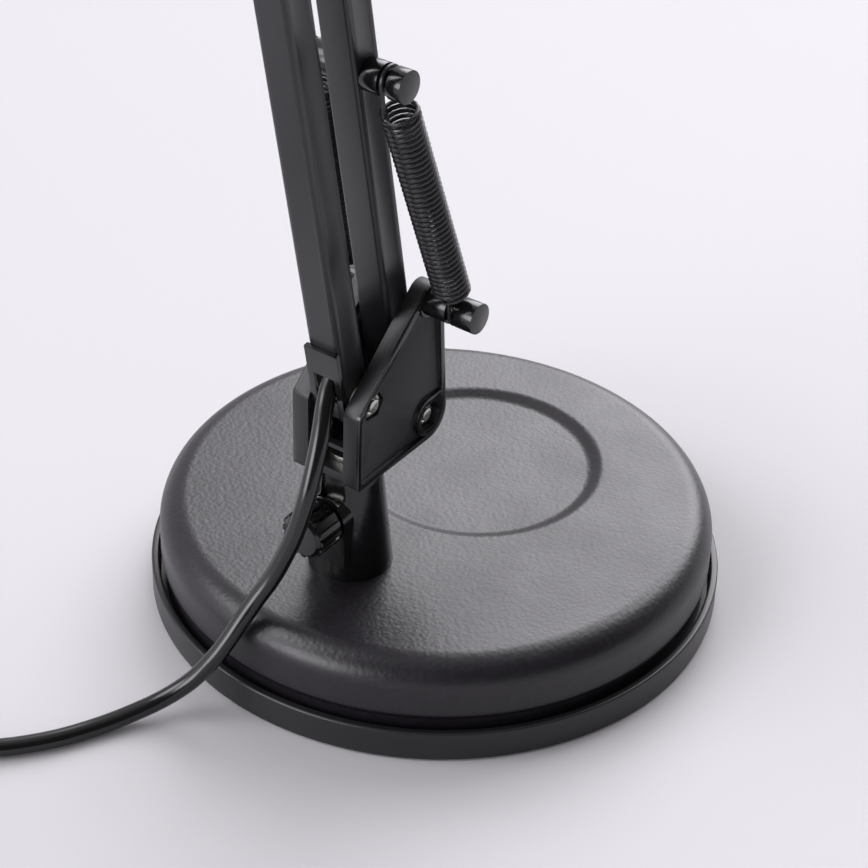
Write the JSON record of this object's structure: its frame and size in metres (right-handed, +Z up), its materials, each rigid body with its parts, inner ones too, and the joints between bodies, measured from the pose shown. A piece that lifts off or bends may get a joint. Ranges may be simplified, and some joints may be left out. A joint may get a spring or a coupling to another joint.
{
  "type": "architect desk lamp",
  "caption": "Architect desk lamp: round weighted base with a pressed tray, swivel bracket, two sprung parallel arms of square tube and a tilting bell shade",
  "frame": {"origin": "centre of the round base on the surface it stands on", "axes": "+X forward, the way the lamp reaches; +Y to the left; +Z up"},
  "size_m": [0.7056, 0.2342, 0.6273],
  "materials": {
    "black_steel": "satin black powder coat",
    "wrinkle_steel": "fine textured satin black powder coat",
    "black_plastic": "moulded black plastic, part polished and part spark eroded",
    "matte_black": "satin black moulded plastic",
    "zinc": "bright zinc plated steel",
    "iron": "cast iron, as cast",
    "foam": "EVA foam",
    "spring_steel": "black coated spring wire",
    "nylon": "natural nylon",
    "cable": "black PVC sheath",
    "porcelain": "white glazed ceramic",
    "opal_glass": "opal glass"
  },
  "bodies": {
    "base": {"base_tray": "matte_black", "base_lid": "wrinkle_steel", "base_ballast": "iron", "base_foot_pad": "foam", "base_screws": "zinc", "base_spacer": "zinc", "post_bolt": "zinc", "post_washer": "zinc", "swivel_post": "black_plastic", "clamp_nut": "zinc", "mains_cord": "cable", "mains_cord_coil": "cable", "cord_tie": "black_plastic", "plug_and_pins": "black_plastic"},
    "clamp_screw": {"clamp_stud": "zinc", "clamp_knob": "black_plastic"},
    "bracket": {"pivot_bracket": "black_plastic", "swivel_pin": "zinc", "bracket_bolts": "zinc", "bracket_nuts": "zinc", "bracket_spring_pegs": "black_plastic", "lower_spring_right": "spring_steel", "lower_spring_left": "spring_steel"},
    "rear_lower_arm": {"rear_lower_tube": "black_steel", "rear_lower_bushes": "nylon", "cable_entry_insert": "black_plastic", "rear_top_insert": "black_plastic", "cable_in_lower_arm": "cable"},
    "front_lower_arm": {"front_lower_tube": "black_steel", "front_lower_bushes": "nylon", "arm_spring_peg": "black_plastic"},
    "elbow": {"elbow_plate_right": "black_steel", "elbow_plate_left": "black_steel", "elbow_bolts": "zinc", "elbow_nuts": "zinc", "elbow_spring_pegs": "black_plastic", "elbow_cable_clip": "black_plastic", "elbow_cable_lower": "cable", "elbow_cable_upper": "cable", "upper_spring_right": "spring_steel", "upper_spring_left": "spring_steel"},
    "top_upper_arm": {"top_upper_tube": "black_steel", "top_upper_bushes": "nylon", "cable_in_upper_arm": "cable"},
    "low_upper_arm": {"low_upper_tube": "black_steel", "low_upper_bushes": "nylon", "upper_spring_peg": "black_plastic"},
    "head_link": {"head_link_right": "black_steel", "head_link_left": "black_steel", "head_bolts": "zinc", "head_nuts": "zinc", "head_cable": "cable"},
    "tilt_knob": {"head_tilt_knob": "black_plastic"},
    "head": {"head_yoke": "black_plastic", "lampholder_housing": "black_plastic", "lampholder_core": "porcelain", "lampholder_ring": "black_plastic", "shade": "black_steel", "bulb": "opal_glass"},
    "switch": {"switch_rocker": "black_plastic"}
  },
  "joints": [
    {"name": "clamp_turn", "type": "hinge", "parent": "base", "child": "clamp_screw", "pos_m": [-0.064, 0, 0.053], "axis": [1, 0, 0], "range_deg": [-180, 180]},
    {"name": "swivel", "type": "hinge", "parent": "base", "child": "bracket", "pos_m": [-0.044, 0, 0.066], "axis": [0, 0, 1], "range_deg": [-170, 170], "deforming": ["mains_cord"]},
    {"name": "lower_arm_tilt", "type": "hinge", "parent": "bracket", "child": "rear_lower_arm", "pos_m": [-0.048, 0, 0.0932], "axis": [0, 1, 0], "range_deg": [-22, 48], "deforming": ["lower_spring_right", "lower_spring_left"]},
    {"name": "front_link_tilt", "type": "hinge", "parent": "bracket", "child": "front_lower_arm", "pos_m": [-0.0222, 0, 0.0765], "axis": [0, 1, 0], "range_deg": [-22, 48]},
    {"name": "elbow_level", "type": "hinge", "parent": "rear_lower_arm", "child": "elbow", "pos_m": [-0.11288, 0, 0.42695], "axis": [0, 1, 0], "range_deg": [-48, 22], "deforming": ["elbow_cable_lower"]},
    {"name": "upper_arm_tilt", "type": "hinge", "parent": "elbow", "child": "top_upper_arm", "pos_m": [-0.08687, 0, 0.47195], "axis": [0, 1, 0], "range_deg": [-52, 55], "deforming": ["elbow_cable_upper", "upper_spring_right", "upper_spring_left"]},
    {"name": "low_link_tilt", "type": "hinge", "parent": "elbow", "child": "low_upper_arm", "pos_m": [-0.07687, 0, 0.44295], "axis": [0, 1, 0], "range_deg": [-52, 55]},
    {"name": "head_level", "type": "hinge", "parent": "top_upper_arm", "child": "head_link", "pos_m": [0.23764, 0, 0.60307], "axis": [0, 1, 0], "range_deg": [-55, 52], "deforming": ["head_cable"]},
    {"name": "tilt_knob_turn", "type": "hinge", "parent": "head_link", "child": "tilt_knob", "pos_m": [0.27364, 0, 0.57807], "axis": [0, 1, 0], "range_deg": [-180, 180]},
    {"name": "head_tilt", "type": "hinge", "parent": "head_link", "child": "head", "pos_m": [0.27364, 0, 0.57807], "axis": [0, 1, 0], "range_deg": [-55, 25]},
    {"name": "switch_rock", "type": "hinge", "parent": "head", "child": "switch", "pos_m": [0.30319, 0, 0.61968], "axis": [0, 1, 0], "range_deg": [-8, 8]}
  ],
  "couplings": [
    {"joint": "front_link_tilt", "follows": "lower_arm_tilt", "ratio": 1},
    {"joint": "elbow_level", "follows": "lower_arm_tilt", "ratio": -1},
    {"joint": "low_link_tilt", "follows": "upper_arm_tilt", "ratio": 1},
    {"joint": "head_level", "follows": "upper_arm_tilt", "ratio": -1}
  ]
}
